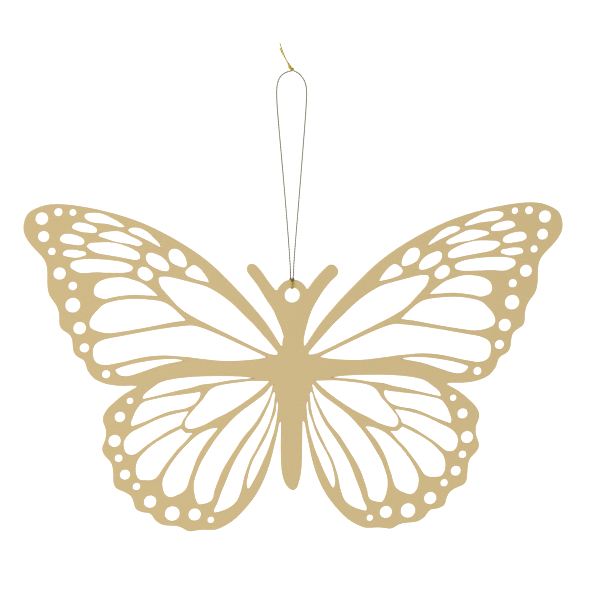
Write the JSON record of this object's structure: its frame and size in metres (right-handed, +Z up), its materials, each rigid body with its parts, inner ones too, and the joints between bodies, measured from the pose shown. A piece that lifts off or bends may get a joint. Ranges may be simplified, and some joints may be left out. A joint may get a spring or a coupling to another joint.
{
  "type": "butterfly ornament",
  "caption": "Flat brass butterfly with pierced, veined wings, hanging from a knotted loop of metallic thread.",
  "frame": {"origin": "where a hook bears, inside the top of the thread loop", "axes": "+X to the right as seen from the front, +Y to the back, +Z up"},
  "size_m": [0.1799, 0.0023, 0.1639],
  "materials": {
    "brass": "satin",
    "thread": "metallic thread"
  },
  "bodies": {
    "loop": {"overhand_knot": "thread", "left_strand": "thread", "right_strand": "thread", "long_tail": "thread", "short_tail": "thread"},
    "legs": {"hitch_legs": "thread"},
    "hitch": {"hitch_wraps": "thread", "hitch_bight": "thread"},
    "butterfly": {"butterfly_plate": "brass"}
  },
  "joints": [
    {"name": "turn", "type": "hinge", "parent": "loop", "child": "legs", "pos_m": [0, 0, -0.06398], "axis": [0, 0, 1], "range_deg": [-180, 180]},
    {"name": "tilt", "type": "hinge", "parent": "legs", "child": "hitch", "pos_m": [0, 0, -0.06678], "axis": [1, 0, 0], "range_deg": [-75, 75]},
    {"name": "sway", "type": "hinge", "parent": "hitch", "child": "butterfly", "pos_m": [0, 0, -0.074], "axis": [0, 1, 0], "range_deg": [-40, 40]}
  ]
}
